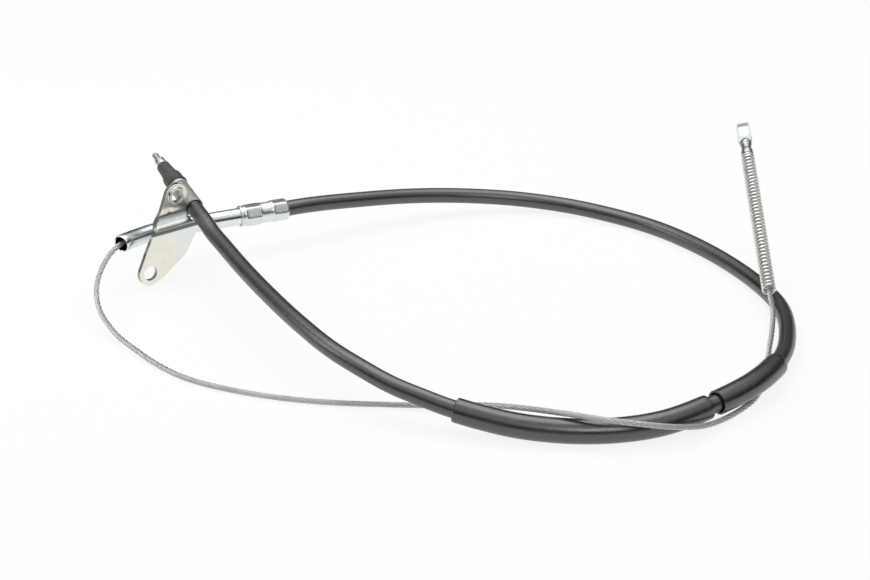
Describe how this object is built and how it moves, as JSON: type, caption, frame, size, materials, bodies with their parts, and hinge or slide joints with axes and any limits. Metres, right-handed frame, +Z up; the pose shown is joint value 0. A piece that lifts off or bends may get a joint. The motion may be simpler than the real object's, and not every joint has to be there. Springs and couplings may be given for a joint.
{
  "type": "parking brake cable",
  "caption": "Parking brake cable: curved black conduit with two sleeves, wheel-end body with boot, pin and bracket, crimped hexagon ferrule, guide tube, wire rope, return spring and eye.",
  "frame": {"origin": "centre of the bottom of the whole cable's bounding box, on the surface the cable lies on", "axes": "+X along the widest way of the loop, towards the return spring; +Y away from the viewer, the way the wheel-end pin and the spring's eye point; +Z up"},
  "size_m": [0.4494, 0.3594, 0.0741],
  "materials": {
    "conduit_jacket": "satin black extruded jacket",
    "conduit_armour": "plain steel wire",
    "conduit_liner": "plain off-white plastic",
    "inner_cable": "stranded zinc-coated steel, dull grey",
    "wheel_end_body": "rough grey coated steel",
    "snap_ring": "bright spring steel",
    "bracket_plate": "yellowish iridescent zinc",
    "rubber_boot": "matt dark grey rubber",
    "wheel_end_pin": "bright zinc",
    "hex_ferrule": "grey-green zinc, crimped",
    "guide_tube": "bright bluish zinc",
    "long_sleeve": "satin black",
    "short_sleeve": "satin black",
    "return_spring": "bright zinc-coated wire",
    "eye_terminal": "very bright zinc"
  },
  "bodies": {
    "root": {"conduit_jacket": "conduit_jacket", "conduit_armour": "conduit_armour", "conduit_liner": "conduit_liner", "inner_cable": "inner_cable", "wheel_end_body": "wheel_end_body", "snap_ring": "snap_ring", "bracket_plate": "bracket_plate", "rubber_boot": "rubber_boot", "wheel_end_pin": "wheel_end_pin", "hex_ferrule": "hex_ferrule", "guide_tube": "guide_tube", "long_sleeve": "long_sleeve", "short_sleeve": "short_sleeve", "return_spring": "return_spring", "eye_terminal": "eye_terminal"}
  },
  "joints": []
}
